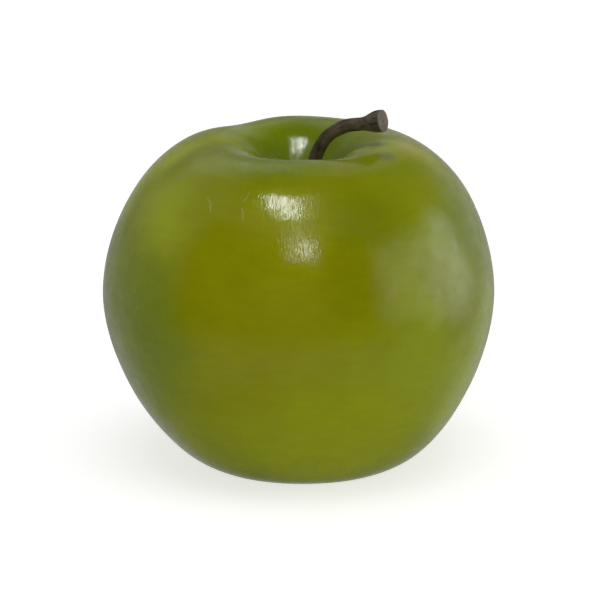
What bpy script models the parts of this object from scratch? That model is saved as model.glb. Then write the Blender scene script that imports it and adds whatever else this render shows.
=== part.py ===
"""A green dessert apple: the fruit, its woody stem and the dried calyx under it.

Units are metres and +Z is up. The apple stands on the flat ring round its calyx basin, at Z = 0,
and the middle of its base box is the origin. The stem bends towards +X and a little towards -Y.
"""

import math

import bmesh
import bpy
from mathutils import Matrix, Vector

# Driving dimensions of the fruit
WIDTH = 0.080
RIM_HEIGHT = 0.0675
RADIUS = WIDTH / 2

# Half of the fruit's outline, as (share of the radius, share of the rim's height)
CAVITY_AND_SIDE = [
    (0.000, 0.790),
    (0.045, 0.792),
    (0.100, 0.845),
    (0.190, 0.925),
    (0.310, 0.982),
    (0.430, 1.000),
    (0.610, 0.972),
    (0.810, 0.868),
    (0.947, 0.705),
    (1.000, 0.530),
    (0.945, 0.350),
    (0.815, 0.180),
    (0.650, 0.060),
    (0.520, 0.014),
    (0.450, 0.003),
    (0.400, 0.000),
]
CALYX_BASIN = [
    (0.300, 0.000),
    (0.240, 0.014),
    (0.170, 0.045),
    (0.110, 0.080),
    (0.055, 0.098),
    (0.000, 0.100),
]
OUTLINE_STEPS = 2
TURN_STEPS = 48

# How the grown fruit strays from a turned one
EQUATOR = 0.53
FULLER_SIDE = 0.012
LOBE_COUNT = 5
LOBE_DEPTH = 0.006
LOBE_TURN = math.radians(20)
RIM_TILT = 0.0005
BASE_LEAN = 0.0006
LEFT_FILL = 0.0010

# Stem: the middle of its round section from the cavity floor to the cut end
STEM_ROUTE = [
    (0.0003, 0.0000, 0.0539),
    (0.0015, 0.0001, 0.0580),
    (0.0031, 0.0000, 0.0624),
    (0.0043, -0.0002, 0.0658),
    (0.0062, -0.0009, 0.0685),
    (0.0093, -0.0020, 0.0705),
    (0.0130, -0.0037, 0.0715),
    (0.0170, -0.0056, 0.0725),
]
STEM_STEPS = 3
STEM_RADIUS = 0.00145
STEM_END_RADIUS = 0.00235
STEM_FOOT_RADIUS = 0.00160
STEM_FLARE_SHARE = 0.16

# Calyx: five dried sepals round a tuft of withered stamens, hanging in the basin
SEPAL_COUNT = 5
SEPAL_THICKNESS = 0.0005
SEPAL_HALF_WIDTH = 0.00120
SEPAL_MIDRIB = [
    (0.00235, 0.00615),
    (0.00225, 0.00480),
    (0.00260, 0.00340),
    (0.00360, 0.00240),
    (0.00500, 0.00220),
]
SEPAL_STEPS = 2
TUFT_TOP = 0.0063
TUFT_LENGTH = 0.0034
TUFT_RADIUS = 0.00085
TUFT_RIDGES = 8
TUFT_RINGS = 4

# Finishes: base colour, roughness
SKIN = ((0.16, 0.20, 0.006, 1.0), 0.28)
BARK = ((0.040, 0.030, 0.018, 1.0), 0.75)
DRY_LEAF = ((0.11, 0.075, 0.030, 1.0), 0.85)
DRY_THREAD = ((0.06, 0.040, 0.020, 1.0), 0.90)


def clear_scene():
    """Remove whatever the file opened with."""
    for thing in list(bpy.data.objects):
        bpy.data.objects.remove(thing, do_unlink=True)


def finish(name, look):
    """One plain material for a sub-part."""
    colour, roughness = look
    material = bpy.data.materials.new(name)
    material.use_nodes = True
    shader = material.node_tree.nodes["Principled BSDF"]
    shader.inputs["Base Color"].default_value = colour
    shader.inputs["Roughness"].default_value = roughness
    shader.inputs["Metallic"].default_value = 0.0
    material.diffuse_color = colour
    return material


def smooth_step(low, high, value):
    """0 below low, 1 above high, and a smooth rise between them."""
    share = min(max((value - low) / (high - low), 0.0), 1.0)
    return share * share * (3.0 - 2.0 * share)


def smooth_curve(points, steps):
    """Points along a centripetal Catmull-Rom curve, with this many steps between each two given points."""
    given = [Vector(p) for p in points]
    knots = [2 * given[0] - given[1]] + given + [2 * given[-1] - given[-2]]
    line = []
    for a, b, c, d in zip(knots, knots[1:], knots[2:], knots[3:]):
        t1 = (b - a).length ** 0.5
        t2 = t1 + (c - b).length ** 0.5
        t3 = t2 + (d - c).length ** 0.5
        for step in range(steps):
            t = t1 + (t2 - t1) * step / steps
            ab = a.lerp(b, t / t1)
            bc = b.lerp(c, (t - t1) / (t2 - t1))
            cd = c.lerp(d, (t - t2) / (t3 - t2))
            abc = ab.lerp(bc, t / t2)
            bcd = bc.lerp(cd, (t - t1) / (t3 - t1))
            line.append(abc.lerp(bcd, (t - t1) / (t2 - t1)))
    line.append(given[-1])
    return line


def add_object(name, bm, material):
    """Link the mesh as a smooth-shaded object and give it its material."""
    bmesh.ops.recalc_face_normals(bm, faces=bm.faces)
    mesh = bpy.data.meshes.new(name)
    bm.to_mesh(mesh)
    bm.free()
    mesh.materials.append(material)
    mesh.shade_smooth()
    mesh.set_sharp_from_angle(angle=math.radians(50))
    thing = bpy.data.objects.new(name, mesh)
    bpy.context.collection.objects.link(thing)
    return thing


def grown(point):
    """Where a point of the turned fruit lies on the grown one."""
    radius = math.hypot(point.x, point.y)
    angle = math.atan2(point.y, point.x)
    height = point.z / RIM_HEIGHT
    away = smooth_step(0.0, 0.45, abs(height - EQUATOR))
    lobes = LOBE_DEPTH * math.cos(LOBE_COUNT * (angle - LOBE_TURN))
    radius *= 1 + away * (FULLER_SIDE * math.cos(angle) + lobes)
    lean = BASE_LEAN * (1 - smooth_step(0.0, 0.25, height))
    out = radius / RADIUS
    tilt = RIM_TILT * math.sin(angle) * smooth_step(0.6, 1.0, height) * smooth_step(0.0, 0.4, out)
    rise = tilt + cavity_fill(angle, out, height)
    return Vector((radius * math.cos(angle) + lean, radius * math.sin(angle), point.z + rise))


def cavity_fill(angle, out, height):
    """How much the cavity's wall is fuller on its left than on its other sides."""
    if height < EQUATOR:
        return 0.0
    wall = smooth_step(0.04, 0.17, out) * (1 - smooth_step(0.20, 0.40, out))
    return wall * LEFT_FILL * smooth_step(0.15, 0.9, -math.cos(angle))


def fruit(material):
    """The whole fruit in one solid: turn its half outline, then let it grow uneven."""
    outline = smooth_curve(CAVITY_AND_SIDE, OUTLINE_STEPS) + smooth_curve(CALYX_BASIN, OUTLINE_STEPS)
    bm = bmesh.new()
    line = [bm.verts.new((share * RADIUS, 0.0, height * RIM_HEIGHT)) for share, height in outline]
    edges = [bm.edges.new(pair) for pair in zip(line, line[1:])]
    turned = {"cent": (0, 0, 0), "axis": (0, 0, 1), "angle": math.tau, "steps": TURN_STEPS}
    bmesh.ops.spin(bm, geom=line + edges, use_merge=True, **turned)
    bmesh.ops.remove_doubles(bm, verts=bm.verts, dist=1e-6)
    for vert in bm.verts:
        vert.co = grown(vert.co)
    middle = Vector((sum(box_ends(bm, 0)) / 2, sum(box_ends(bm, 1)) / 2, 0.0))
    bmesh.ops.translate(bm, vec=-middle, verts=bm.verts)
    return add_object("fruit", bm, material)


def box_ends(bm, axis):
    """The lowest and highest place of the mesh along one axis."""
    places = [vert.co[axis] for vert in bm.verts]
    return min(places), max(places)


def stem_radius(share):
    """The stem's radius at a share of its length: a thicker foot, a slim middle and a flared cut end."""
    foot = (STEM_FOOT_RADIUS - STEM_RADIUS) * (1 - smooth_step(0.0, 0.35, share))
    flare = (STEM_END_RADIUS - STEM_RADIUS) * smooth_step(1 - STEM_FLARE_SHARE, 0.97, share)
    return STEM_RADIUS + foot + flare


def stem(material):
    """A round tapering rod along the stem's route, cut square at both ends."""
    route = smooth_curve(STEM_ROUTE, STEM_STEPS)
    lengths = [0.0]
    for before, after in zip(route, route[1:]):
        lengths.append(lengths[-1] + (after - before).length)
    data = bpy.data.curves.new("stem", "CURVE")
    data.dimensions = "3D"
    data.bevel_depth = 1.0
    data.bevel_resolution = 4
    data.use_fill_caps = True
    spline = data.splines.new("POLY")
    spline.points.add(len(route) - 1)
    for point, place, length in zip(spline.points, route, lengths):
        point.co = (*place, 1.0)
        point.radius = stem_radius(length / lengths[-1])
    spline.use_smooth = True
    data.materials.append(material)
    thing = bpy.data.objects.new("stem", data)
    bpy.context.collection.objects.link(thing)
    return thing


def leaf_solid(midrib):
    """A thin pointed leaf whose midrib lies in the XZ plane, as one closed solid."""
    bm = bmesh.new()
    rings = []
    for index, place in enumerate(midrib):
        share = index / (len(midrib) - 1)
        after = midrib[min(index + 1, len(midrib) - 1)]
        before = midrib[max(index - 1, 0)]
        along = (after - before).normalized()
        normal = Vector((-along.z, 0.0, along.x))
        half_width = SEPAL_HALF_WIDTH * (1.0 - 0.88 * smooth_step(0.2, 1.0, share))
        half_thick = SEPAL_THICKNESS / 2 * (1.0 - 0.5 * share)
        ring = []
        for across, up in ((-1, -1), (1, -1), (1, 1), (-1, 1)):
            corner = Vector((0, across * half_width, 0)) + normal * up * half_thick
            ring.append(bm.verts.new(place + corner))
        rings.append(ring)
    for ring, following in zip(rings, rings[1:]):
        for near, far in ((0, 1), (1, 2), (2, 3), (3, 0)):
            bm.faces.new((ring[near], ring[far], following[far], following[near]))
    bm.faces.new(rings[0][::-1])
    bm.faces.new(rings[-1])
    return bm


def sepals(material):
    """Five dried sepals, one in each fifth of a turn round the basin's middle."""
    midrib = [Vector((x, 0.0, z)) for x, z in smooth_curve(SEPAL_MIDRIB, SEPAL_STEPS)]
    for number in range(SEPAL_COUNT):
        bm = leaf_solid(midrib)
        turn = Matrix.Rotation(math.tau * number / SEPAL_COUNT + LOBE_TURN, 3, "Z")
        bmesh.ops.rotate(bm, cent=(0, 0, 0), matrix=turn, verts=bm.verts)
        add_object(f"sepal_{number + 1}", bm, material)


def stamens(material):
    """The withered stamens and styles, as one ridged tuft that narrows downwards."""
    bm = bmesh.new()
    sides = 2 * TUFT_RIDGES
    rings = []
    for level in range(TUFT_RINGS + 1):
        share = level / TUFT_RINGS
        radius = TUFT_RADIUS * (1.0 - 0.35 * share)
        ring = []
        for side in range(sides):
            angle = math.tau * side / sides
            out = radius * (1.0 if side % 2 else 0.78)
            height = TUFT_TOP - TUFT_LENGTH * share
            ring.append(bm.verts.new((out * math.cos(angle), out * math.sin(angle), height)))
        rings.append(ring)
    for ring, following in zip(rings, rings[1:]):
        for side in range(sides):
            after = (side + 1) % sides
            bm.faces.new((ring[side], ring[after], following[after], following[side]))
    bm.faces.new(rings[0])
    bm.faces.new(rings[-1][::-1])
    add_object("stamens", bm, material)


def main():
    """Model the whole apple."""
    clear_scene()
    fruit(finish("skin", SKIN))
    stem(finish("bark", BARK))
    sepals(finish("dry_leaf", DRY_LEAF))
    stamens(finish("dry_thread", DRY_THREAD))


main()
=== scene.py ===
"""A green dessert apple on a pale table: waxy skin, a woody stem and the dried calyx underneath.

Units are metres and +Z is up, as in the frame. The apple stands at Z = 0 on the ring round its calyx basin.
Its stem bends towards +X and a little towards -Y, where the camera is.
"""

import logging
import math
import random
from collections.abc import Callable, Sequence
from dataclasses import dataclass
from enum import Enum
from functools import partial

import bpy
from mathutils import Matrix, Vector, noise


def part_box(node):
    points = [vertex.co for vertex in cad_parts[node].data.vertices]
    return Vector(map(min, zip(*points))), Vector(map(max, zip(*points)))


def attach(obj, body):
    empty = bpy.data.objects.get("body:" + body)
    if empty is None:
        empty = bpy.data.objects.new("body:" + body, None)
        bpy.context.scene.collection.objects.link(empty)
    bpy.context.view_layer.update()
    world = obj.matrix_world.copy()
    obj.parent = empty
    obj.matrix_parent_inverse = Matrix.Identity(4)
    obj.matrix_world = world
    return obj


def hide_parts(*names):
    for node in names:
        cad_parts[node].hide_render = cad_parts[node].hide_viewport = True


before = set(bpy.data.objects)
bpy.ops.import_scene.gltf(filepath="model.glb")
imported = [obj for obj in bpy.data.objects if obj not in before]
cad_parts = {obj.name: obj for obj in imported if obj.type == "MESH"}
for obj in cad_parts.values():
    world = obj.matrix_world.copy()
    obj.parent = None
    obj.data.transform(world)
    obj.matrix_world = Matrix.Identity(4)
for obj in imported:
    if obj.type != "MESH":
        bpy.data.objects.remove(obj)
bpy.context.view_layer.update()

LOG = logging.getLogger("apple")
BODY = "root"
MM = 0.001

# Short names for two types that come back often: a node's output, and add_node once it knows its tree
Socket = bpy.types.NodeSocket
AddNode = Callable[..., bpy.types.NodeSocket]


class Slot(Enum):
    """The record's material slots."""

    SKIN = "skin"
    BARK = "bark"
    DRY_LEAF = "dry_leaf"
    DRY_THREAD = "dry_thread"


class Seen(Enum):
    """Which rays a thing of the studio is seen by."""

    BY_CAMERA = "camera only"
    BY_SHINE = "glossy reflections only"
    BY_MATT = "bounced light only"


# Helpers for colours, curves and operators


def linear(hex_colour: str) -> tuple[float, float, float, float]:
    """Turn an sRGB hex colour into linear light.

    Args:
        hex_colour: six hex digits after a #.

    Returns:
        Red, green, blue and an alpha of 1.
    """
    shares = [int(hex_colour[place : place + 2], 16) / 255 for place in (1, 3, 5)]
    light = [share / 12.92 if share <= 0.04045 else ((share + 0.055) / 1.055) ** 2.4 for share in shares]
    return (light[0], light[1], light[2], 1.0)


def smooth_step(low: float, high: float, value: float) -> float:
    """Rise smoothly from 0 at low to 1 at high.

    Args:
        low: the value below which the result is 0.
        high: the value above which the result is 1.
        value: where to read the rise.

    Returns:
        A number from 0 to 1.
    """
    share = min(max((value - low) / (high - low), 0.0), 1.0)
    return share * share * (3.0 - 2.0 * share)


def smooth_curve(points: Sequence[Sequence[float]], steps: int) -> list[Vector]:
    """Read points along a centripetal Catmull-Rom curve.

    Args:
        points: the points that the curve goes through.
        steps: how many steps lie between each two of them.

    Returns:
        The points along the curve, both ends included.
    """
    given = [Vector(point) for point in points]
    knots = [2 * given[0] - given[1], *given, 2 * given[-1] - given[-2]]
    line = []
    for a, b, c, d in zip(knots, knots[1:], knots[2:], knots[3:]):
        t1 = (b - a).length ** 0.5
        t2 = t1 + (c - b).length ** 0.5
        t3 = t2 + (d - c).length ** 0.5
        for step in range(steps):
            t = t1 + (t2 - t1) * step / steps
            ab = a.lerp(b, t / t1)
            bc = b.lerp(c, (t - t1) / (t2 - t1))
            cd = c.lerp(d, (t - t2) / (t3 - t2))
            abc = ab.lerp(bc, t / t2)
            bcd = bc.lerp(cd, (t - t1) / (t3 - t1))
            line.append(abc.lerp(bcd, (t - t1) / (t2 - t1)))
    line.append(given[-1])
    return line


def deselect_all() -> None:
    """Leave object mode with nothing selected, so that an operator acts on the new piece alone."""
    if bpy.context.object and bpy.context.object.mode != "OBJECT":
        bpy.ops.object.mode_set(mode="OBJECT")
    bpy.ops.object.select_all(action="DESELECT")


def work_on(piece: bpy.types.Object) -> None:
    """Select one object alone and make it the active one.

    Args:
        piece: the object that the next operators act on.
    """
    deselect_all()
    piece.select_set(True)
    bpy.context.view_layer.objects.active = piece


def apply_modifier(piece: bpy.types.Object, kind: str, **settings: float | int | bool | str) -> None:
    """Add a modifier to a piece and apply it.

    Args:
        piece: the mesh object.
        kind: the modifier's type, such as SUBSURF.
        settings: the modifier's fields.
    """
    work_on(piece)
    modifier = piece.modifiers.new(kind.title(), kind)
    for name, value in settings.items():
        setattr(modifier, name, value)
    bpy.ops.object.modifier_apply(modifier=modifier.name)


def move_points(piece: bpy.types.Object, place: Callable[[Vector], Vector]) -> None:
    """Move every point of a mesh by a rule.

    Args:
        piece: the mesh object, at the origin.
        place: gives a point's new place from its old one.
    """
    for vertex in piece.data.vertices:
        vertex.co = place(vertex.co)
    piece.data.update()


def hand_over(piece: bpy.types.Object, name: str, node: str, angle: float) -> None:
    """Finish a piece: put its place into its mesh, shade it smooth, name it and let it ride in the frame.

    Args:
        piece: the finished mesh object.
        name: the piece's name.
        node: the CAD node that it stands for.
        angle: the steepest edge that is shaded smooth, in degrees.
    """
    work_on(piece)
    bpy.ops.object.transform_apply(location=True, rotation=True, scale=True)
    bpy.ops.object.shade_smooth_by_angle(angle=math.radians(angle))
    piece.name = name
    piece.data.name = name
    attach(piece, BODY)
    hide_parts(node)


# Helpers for materials


def add_node(
    tree: bpy.types.NodeTree, kind: str, settings: dict[str | int, object], output: str | int = 0
) -> Socket | None:
    """Add one node with its settings and links.

    Args:
        tree: the material's node tree.
        kind: the node's type without its ShaderNode prefix.
        settings: a lower-case key is a field of the node. A capitalised or numbered one is an input, which
            takes a value or, to link it, another node's output.
        output: the name or number of the output that is wanted.

    Returns:
        That output, or None if the node has no outputs.
    """
    node = tree.nodes.new("ShaderNode" + kind)
    for key, value in settings.items():
        if isinstance(key, str) and key[0].islower():
            setattr(node, key, value)
        elif isinstance(value, Socket):
            tree.links.new(value, node.inputs[key])
        else:
            node.inputs[key].default_value = value
    return node.outputs[output] if node.outputs else None


def new_material(name: str) -> tuple[bpy.types.Material, AddNode]:
    """Start an empty material.

    Args:
        name: the material's name.

    Returns:
        The material, and add_node bound to its tree.
    """
    material = bpy.data.materials.new(name)
    material.use_nodes = True
    tree = material.node_tree
    tree.nodes.clear()
    return material, partial(add_node, tree)


def lay_over(add: AddNode, under: Socket, hex_colour: str, mask: Socket, strength: float = 1.0) -> Socket:
    """Lay one colour over another where a mask is up.

    Args:
        add: adds a node to the tree.
        under: the colour so far.
        hex_colour: the colour to lay on.
        mask: where it goes, from 0 to 1.
        strength: how much of it shows where the mask is 1.

    Returns:
        The new colour.
    """
    share = add("Math", {"operation": "MULTIPLY", 0: mask, 1: strength})
    return add("Mix", {"data_type": "RGBA", "Factor": share, 6: under, 7: linear(hex_colour)}, 2)


# Finishes


@dataclass(frozen=True)
class Ball:
    """A soft-edged ball of space, in millimetres: full up to its core's radius and faded out at its reach."""

    centre: tuple[float, float, float]
    core: float
    reach: float

    def mask(self, add: AddNode, place: Socket) -> Socket:
        """Mark the ball.

        Args:
            add: adds a node to the tree.
            place: the point on the apple.

        Returns:
            1 in the ball's core, 0 outside its reach.
        """
        middle = [part * MM for part in self.centre]
        away = add("VectorMath", {"operation": "DISTANCE", 0: place, 1: middle}, "Value")
        limits = {"From Min": self.core * MM, "From Max": self.reach * MM, "To Min": 1.0, "To Max": 0.0}
        return add("MapRange", {"interpolation_type": "SMOOTHSTEP", "Value": away, **limits})


@dataclass(frozen=True)
class Patch(Ball):
    """A soft-edged area of the skin in its own tint."""

    tint: str


@dataclass(frozen=True)
class Scratch:
    """A hair-thin line in the wax, from one point of the skin to another, in millimetres."""

    start: tuple[float, float, float]
    end: tuple[float, float, float]
    strength: float = 0.8
    wobble_mm: float = 2.0
    sway_mm: float = 1.4
    core_mm: float = 0.04
    edge_mm: float = 0.17
    taper_mm: tuple[float, float] = (-0.5, 0.2)

    def mask(self, add: AddNode, place: Socket) -> Socket:
        """Mark the scratch, which wanders a little from side to side.

        Args:
            add: adds a node to the tree.
            place: the point on the apple.

        Returns:
            1 on the scratch, 0 beside it.
        """
        start, end = Vector(self.start) * MM, Vector(self.end) * MM
        way, length = (end - start).normalized(), (end - start).length
        sway = self.sway_mm * MM
        fine = 1 / (self.wobble_mm * MM)
        wobble = add("TexNoise", {"Vector": place, "Scale": fine, "Detail": 2.0}, "Color")
        shaken = add("VectorMath", {"operation": "MULTIPLY_ADD", 0: wobble, 1: [sway] * 3, 2: place})
        away = add("VectorMath", {"operation": "SUBTRACT", 0: shaken, 1: start + Vector([sway / 2] * 3)})
        along = add("VectorMath", {"operation": "DOT_PRODUCT", 0: away, 1: way}, "Value")
        across = add("VectorMath", {"operation": "CROSS_PRODUCT", 0: away, 1: way})
        off = add("VectorMath", {"operation": "LENGTH", 0: across}, "Value")
        width = {"From Min": self.core_mm * MM, "From Max": self.edge_mm * MM, "To Min": 1.0, "To Max": 0.0}
        line = add("MapRange", {"Value": off, **width})
        middle = add("Math", {"operation": "SUBTRACT", 0: along, 1: length / 2})
        middle = add("Math", {"operation": "ABSOLUTE", 0: middle})
        near, far = (length / 2 + taper * MM for taper in self.taper_mm)
        ends = {"From Min": near, "From Max": far, "To Min": 1.0, "To Max": 0.0}
        inside = add("MapRange", {"Value": middle, **ends})
        return add("Math", {"operation": "MULTIPLY", 0: line, 1: inside})


@dataclass(frozen=True)
class Dots:
    """Small round dots scattered in the skin, in millimetres."""

    tint: str
    strength: float
    spacing: float
    radius: float
    rarity: float

    def mask(self, add: AddNode, place: Socket) -> Socket:
        """Mark the dots, with the share of them that their rarity says left out.

        Args:
            add: adds a node to the tree.
            place: the point on the apple.

        Returns:
            1 on a dot, 0 between them.
        """
        cells = add("TexVoronoi", {"Vector": place, "Scale": 1 / (self.spacing * MM)})
        share = self.radius / self.spacing
        limits = {"From Min": 0.5 * share, "From Max": 1.4 * share, "To Min": 1.0, "To Max": 0.0}
        dot = add("MapRange", {"Value": cells, **limits})
        chosen = add("SeparateColor", {0: cells.node.outputs["Color"]})
        kept = add("Math", {"operation": "GREATER_THAN", 0: chosen, 1: self.rarity})
        return add("Math", {"operation": "MULTIPLY", 0: dot, 1: kept})


@dataclass(frozen=True)
class WaxySkin:
    """Apple skin under its natural wax: gloss with fine upright ripples, over a blotchy yellow-green.

    The wax gives soft-edged highlights broken into fine upright streaks, and the cells under it give colour
    that drifts slowly from olive yellow, where the sun was, to green on the shaded sides. The colour also
    holds
    painted light: painted shade in the stem cavity, painted light on the shoulder rims and over the stem's
    shadow, and a painted reflection of the stem's end. The real streaks are finer than a fifth of a
    millimetre, so they are drawn twice as coarse, which is as fine as shows.
    """

    ground: str = "#8C9700"
    sunny: str = "#949600"
    shaded: str = "#788700"
    # painted shade: a darker green laid into the stem cavity
    hollow: str = "#6C8200"
    scuff: str = "#B4B978"
    # painted reflection: the grey-brown of the stem's end mirrored on the skin below it
    stem_reflection: str = "#6A6450"
    russet: str = "#6E5A22"
    ior: float = 1.45
    specular: float = 0.08
    roughness: float = 0.26
    coat: float = 0.45
    coat_roughness: float = 0.07
    girth_mm: float = 40.0
    height_share: float = 0.45
    blotch_mm: float = 22.0
    blotch_shift_mm: float = 16.0
    cloud_mm: float = 7.0
    streak_mm: float = 0.9
    streak_stretch: float = 0.18
    tone_range: float = 0.07
    # how strong the painted shade in the stem cavity is
    cavity_shade_strength: float = 0.75
    # how strong and how grainy the painted reflection of the stem's end is
    stem_reflection_strength: float = 0.55
    stem_reflection_grain_mm: float = 2.2
    russet_strength: float = 0.7
    russet_grain_mm: float = 1.6
    rubbed_mm: float = 9.0
    rubbed_streak_mm: float = 0.7
    stroke_mm: float = 0.42
    wax_patch_mm: float = 3.0
    wax_patch_share: float = 0.35
    thinnest_wax: float = 0.10
    thickest_wax: float = 1.90
    calm: float = 0.05
    ripple_mm: float = 0.42
    peel_mm: float = 1.6
    ripple_depth_mm: float = 0.022
    # where the painted shade in the stem cavity lies
    cavity_shade_ball: Ball = Ball((2, 7, 63), 7, 17)
    # where the painted reflection of the stem's end lies
    stem_reflection_ball: Ball = Ball((17.2, -11.6, 66.8), 0.4, 3.4)
    foot_ball: Ball = Ball((0.3, 0, 53.4), 1.5, 5.0)
    eye_ball: Ball = Ball((0, 0, 6.8), 2.0, 6.5)
    lively_front: Ball = Ball((-1, -32, 56), 10, 24)
    lively_hollow: Ball = Ball((0, 6, 60), 6, 10)
    wax_shares: tuple[tuple[Ball, float], ...] = (
        (Ball((-12.5, -2.5, 66.8), 2.5, 7.5), 0.25),
        (Ball((9.6, 5.0, 65.7), 2.5, 7.5), 0.25),
        (Ball((15.5, -2.0, 67.4), 2.5, 6.0), 0.45),
        (Ball((-0.6, 9.0, 63.8), 2.5, 6.0), 2.3),
    )
    areas: tuple[Patch, ...] = (
        Patch((-9, -36, 44), 10, 32, sunny),
        Patch((-40, -10, 28), 8, 32, "#7B8D04"),
        Patch((-32, -22, 30), 2, 24, shaded),
        Patch((-27, -20, 57), 2, 13, "#A2AE10"),
        # painted light: the next five patches lighten the shoulder rims and the back rim, where light falls
        # brighter
        Patch((-29, 0, 60), 4, 15, "#ABB614"),
        Patch((23, -6, 65.5), 3, 12, "#BCB816"),
        Patch((-8, 12, 68), 3, 14, "#9AAC10"),
        Patch((-19, 1, 67), 2, 9, "#A0AC10"),
        Patch((-25, -4, 64.5), 2, 9, "#B0BC18"),
        # painted light: lightens the spot on the rim where the stem's shadow falls
        Patch((15, -4, 67.2), 3, 8, "#A1B314"),
        Patch((-4, -15, 67), 5, 15, "#809100"),
        Patch((25, -14, 61.5), 5, 15, "#929C06"),
        Patch((14, -30, 58), 3, 13, "#808900"),
        Patch((10, -38, 47), 2, 12, "#888B00"),
        Patch((33, -13, 51), 5, 17, "#7A8A00"),
        Patch((26, -26, 24), 8, 24, "#95A108"),
        Patch((8, -34, 12), 10, 26, "#9AA308"),
        Patch((31, -24, 43), 4, 13, "#868F04"),
        Patch((38, -12, 32), 3, 11, "#92A40C"),
        Patch((33, -15, 19), 3, 13, "#A0AE12"),
        Patch((-14, 36, 40), 6, 30, sunny),
        Patch((34, 14, 22), 4, 22, sunny),
        Patch((-30, 26, 14), 4, 24, shaded),
    )
    dots: tuple[Dots, ...] = (
        Dots("#A3A84C", 0.22, 4.2, 0.20, 0.45),
        Dots("#3E3C14", 0.75, 13.0, 0.26, 0.62),
    )
    scratches: tuple[Scratch, ...] = (
        Scratch((-17.8, -23.5, 61.5), (-16.3, -28.5, 57.7)),
        Scratch((-9.4, -26.0, 62.9), (-11.3, -28.1, 60.6)),
        Scratch((-11.3, -28.1, 60.6), (-9.5, -32.1, 56.5)),
        Scratch((-11.2, -32.0, 56.2), (-10.5, -32.4, 55.8)),
        Scratch((-34.0, -17.8, 45.6), (-32.5, -21.7, 43.0)),
        Scratch((-32.5, -21.7, 43.0), (-31.7, -24.1, 38.6)),
        Scratch((-35.2, -17.5, 36.0), (-34.6, -19.0, 30.4), 0.4),
        Scratch((29.6, -21.0, 17.0), (28.6, -23.2, 14.4), 0.5),
    )

    def material(self) -> bpy.types.Material:
        """Build the skin's nodes.

        Returns:
            The material.
        """
        material, add = new_material("waxy_apple_skin")
        place = add("TexCoord", {}, "Object")
        along = self.upright(add, place)
        relief = self.relief(add, place, along)
        shader = add(
            "BsdfPrincipled",
            {
                "Base Color": self.colour(add, place),
                "Roughness": self.gloss(add, place, along),
                "Normal": relief,
                "Coat Normal": relief,
                "IOR": self.ior,
                "Specular IOR Level": self.specular,
                "Coat Weight": self.wax(add, place, along),
                "Coat Roughness": self.coat_roughness,
            },
        )
        add("OutputMaterial", {"Surface": shader})
        return material

    def upright(self, add: AddNode, place: Socket) -> Socket:
        """Make a space in which patterns run from the calyx up to the stem.

        Args:
            add: adds a node to the tree.
            place: the point on the apple.

        Returns:
            The point as metres round a circle of the apple's girth, with its height squeezed to under a half.
        """
        level = add("VectorMath", {"operation": "MULTIPLY", 0: place, 1: (1.0, 1.0, 0.0)})
        compass = add("VectorMath", {"operation": "NORMALIZE", 0: level})
        girth = add("VectorMath", {"operation": "SCALE", 0: compass, "Scale": self.girth_mm * MM})
        squeeze = (0.0, 0.0, self.height_share)
        return add("VectorMath", {"operation": "MULTIPLY_ADD", 0: place, 1: squeeze, 2: girth})

    def colour(self, add: AddNode, place: Socket) -> Socket:
        """Lay the skin's colours over each other.

        Args:
            add: adds a node to the tree.
            place: the point on the apple.

        Returns:
            The base colour.
        """
        colour = self.tinted(add, place)
        # painted shade: darken the stem cavity with the hollow's green
        colour = lay_over(add, colour, self.hollow, self.cavity_shade_ball.mask(add, place), self.cavity_shade_strength)
        flat = (self.streak_stretch, self.streak_stretch, 1.0)
        level = add("VectorMath", {"operation": "MULTIPLY", 0: place, 1: flat})
        streak = add("TexNoise", {"Vector": level, "Scale": 1 / (self.streak_mm * MM), "Detail": 3.0})
        cloud = add("TexNoise", {"Vector": place, "Scale": 1 / (self.cloud_mm * MM), "Detail": 4.0})
        both = add("Math", {"operation": "ADD", 0: streak, 1: cloud})
        limits = {"To Min": 1 - self.tone_range, "To Max": 1 + self.tone_range}
        tone = add("MapRange", {"Value": both, "From Min": 0.6, "From Max": 1.4, **limits})
        colour = add("VectorMath", {"operation": "SCALE", 0: colour, "Scale": tone})
        for dots in self.dots:
            colour = lay_over(add, colour, dots.tint, dots.mask(add, place), dots.strength)
        # painted reflection: a grey-brown mark of the stem's end on the skin below it
        stem_reflection = self.stem_reflection_ball.mask(add, place)
        stem_reflection_mask = self.ragged(add, place, stem_reflection, self.stem_reflection_grain_mm, 4.0, (0.60, 0.45))
        colour = lay_over(add, colour, self.stem_reflection, stem_reflection_mask, self.stem_reflection_strength)
        for scratch in self.scratches:
            colour = lay_over(add, colour, self.scuff, scratch.mask(add, place), scratch.strength)
        foot, eye = self.foot_ball.mask(add, place), self.eye_ball.mask(add, place)
        corky = add("Math", {"operation": "MAXIMUM", 0: foot, 1: eye})
        russeted = self.ragged(add, place, corky, self.russet_grain_mm, 5.0, (0.62, 0.20))
        return lay_over(add, colour, self.russet, russeted, self.russet_strength)

    def tinted(self, add: AddNode, place: Socket) -> Socket:
        """Lay the skin's tints and the painted light on its rims over the ground colour, with blotchy edges.

        Args:
            add: adds a node to the tree.
            place: the point on the apple.

        Returns:
            The colour.
        """
        blotch = add("TexNoise", {"Vector": place, "Scale": 1 / (self.blotch_mm * MM), "Detail": 3.0})
        loose = blotch.node.outputs["Color"]
        away = add("VectorMath", {"operation": "SUBTRACT", 0: loose, 1: (0.5, 0.5, 0.5)})
        away = add("VectorMath", {"operation": "SCALE", 0: away, "Scale": self.blotch_shift_mm * MM})
        moved = add("VectorMath", {"operation": "ADD", 0: place, 1: away})
        limits = {"From Min": 0.35, "From Max": 0.65, "To Max": 0.5}
        drift = add("MapRange", {"Value": blotch, **limits})
        shades = {6: linear(self.ground), 7: linear(self.sunny)}
        colour = add("Mix", {"data_type": "RGBA", "Factor": drift, **shades}, 2)
        for area in self.areas:
            colour = lay_over(add, colour, area.tint, area.mask(add, moved))
        return colour

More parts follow.
